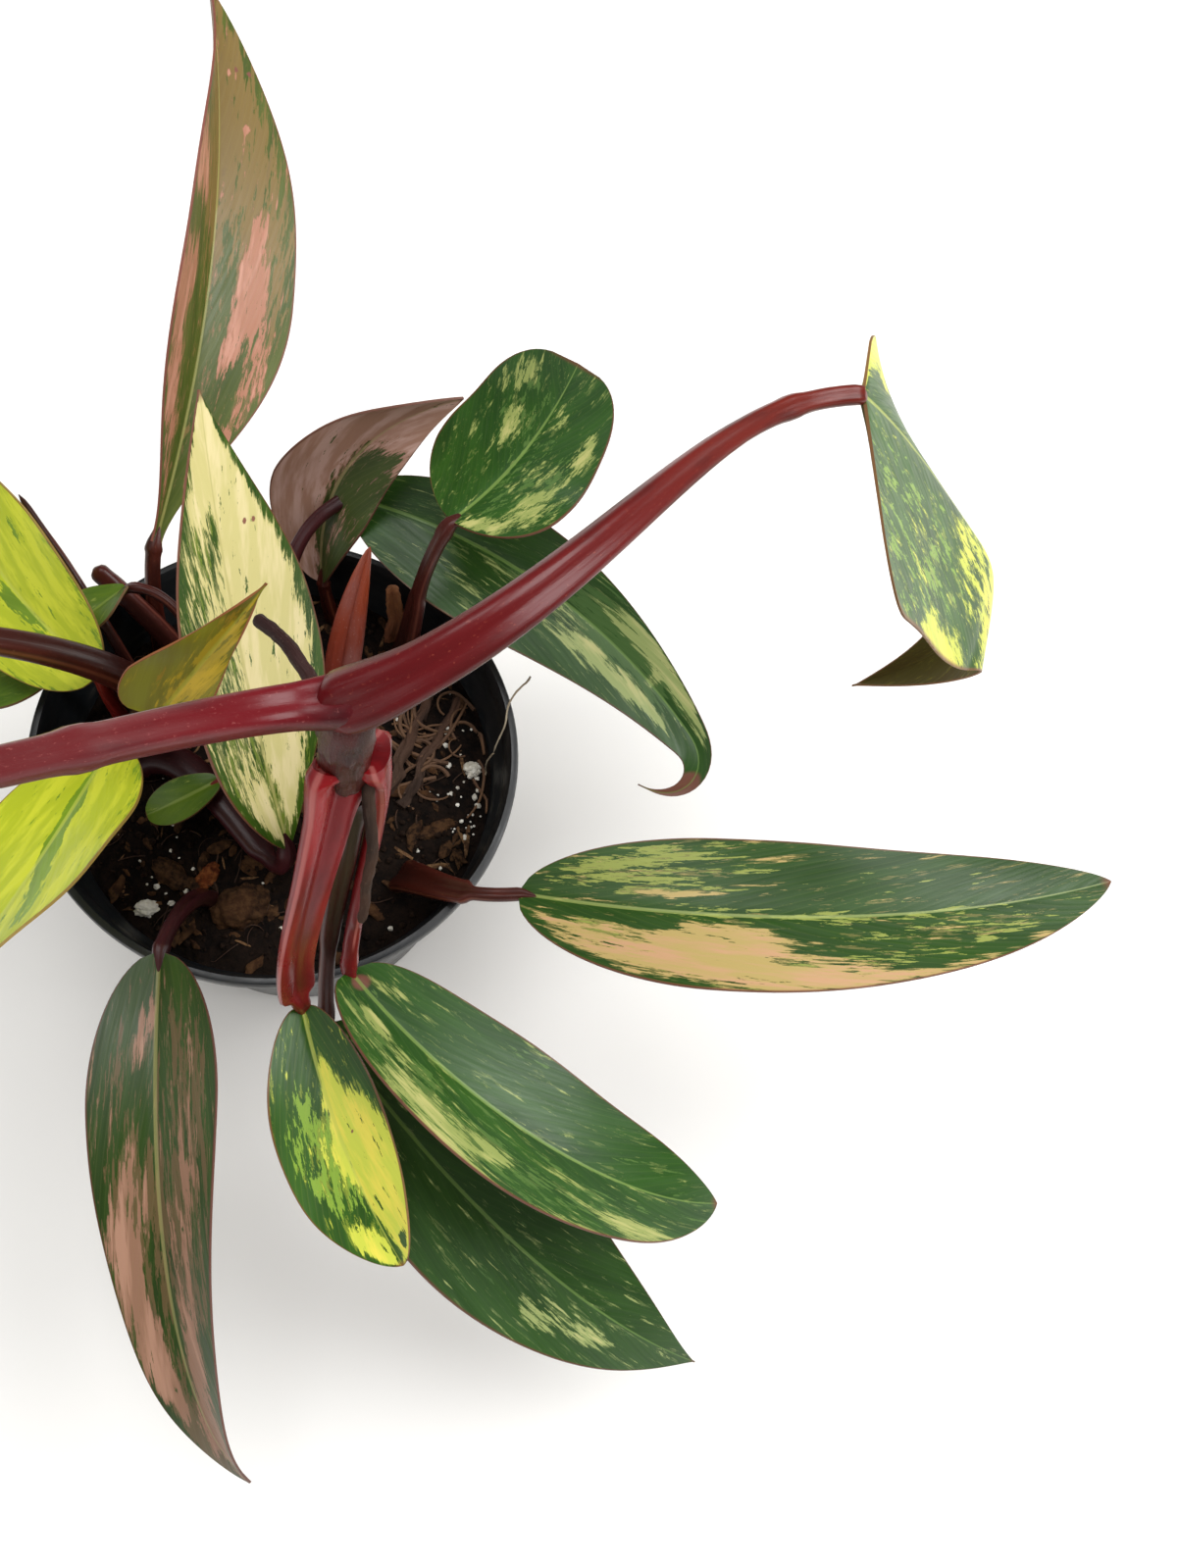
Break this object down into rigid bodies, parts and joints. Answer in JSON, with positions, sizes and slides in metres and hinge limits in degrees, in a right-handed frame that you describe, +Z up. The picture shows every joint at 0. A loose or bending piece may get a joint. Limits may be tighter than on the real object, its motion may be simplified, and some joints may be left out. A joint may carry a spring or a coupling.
{
  "type": "potted climbing foliage plant",
  "caption": "Potted philodendron with long variegated leaves on red stalks spreading from a short stem in a thin round plastic nursery pot.",
  "frame": {"origin": "centre of the pot's flat underside", "axes": "+Z up along the pot's axis, +X to the right of the plant's front, +Y to the plant's back, away from the viewer"},
  "size_m": [0.4103, 0.3552, 0.27],
  "materials": {
    "stem_bark": "matte",
    "leaf_rose_brown": "satin",
    "leaf_cream": "satin",
    "leaf_green": "satin",
    "leaf_lime": "satin",
    "leaf_olive": "satin",
    "petiole_red": "satin",
    "petiole_brown": "satin",
    "petiole_rose": "satin",
    "young_sheath": "satin",
    "dry_husk": "matte",
    "root": "matte",
    "bark_chip": "matte",
    "bark_orange": "matte",
    "perlite": "matte",
    "soil": "matte",
    "pot_plastic": "satin"
  },
  "bodies": {
    "root": {"main_stem": "stem_bark", "side_shoot": "stem_bark", "blade_tall_back": "leaf_rose_brown", "blade_cream": "leaf_cream", "blade_pink_back": "leaf_rose_brown", "blade_arching_back": "leaf_green", "blade_round_back": "leaf_green", "blade_hanging_right": "leaf_green", "blade_long_right": "leaf_green", "blade_front_right": "leaf_green", "blade_front_lower": "leaf_green", "blade_oval_front": "leaf_lime", "blade_front_left": "leaf_rose_brown", "blade_olive_small": "leaf_olive", "blade_spoon": "leaf_green", "blade_lime_left": "leaf_lime", "blade_small_left": "leaf_green", "blade_yellow_left": "leaf_lime", "blade_back_left_small": "leaf_green", "blade_high_left": "leaf_lime", "blade_far_left": "leaf_green", "petiole_tall_back": "petiole_red", "petiole_cream": "petiole_brown", "petiole_pink_back": "petiole_red", "petiole_arching_back": "petiole_brown", "petiole_round_back": "petiole_brown", "petiole_hanging_right": "petiole_red", "petiole_long_right": "petiole_brown", "petiole_front_right": "petiole_rose", "petiole_front_lower": "petiole_brown", "petiole_oval_front": "petiole_rose", "petiole_front_left": "petiole_brown", "petiole_olive_small": "petiole_red", "petiole_spoon": "petiole_red", "petiole_lime_left": "petiole_red", "petiole_small_left": "petiole_red", "petiole_yellow_left": "petiole_red", "petiole_back_left_small": "petiole_red", "petiole_high_left": "petiole_rose", "petiole_far_left": "petiole_brown", "cataphyll": "young_sheath", "dry_sheath": "dry_husk", "stub_thick": "petiole_brown", "stub_thin": "petiole_brown", "aerial_root_back": "root", "aerial_root_front": "root", "surface_root_long": "root", "surface_root_short": "root", "bark_round": "bark_chip", "bark_left": "bark_chip", "bark_orange": "bark_orange", "bark_right": "bark_chip", "perlite_right": "perlite", "perlite_left": "perlite", "soil": "soil", "pot": "pot_plastic"}
  },
  "joints": []
}
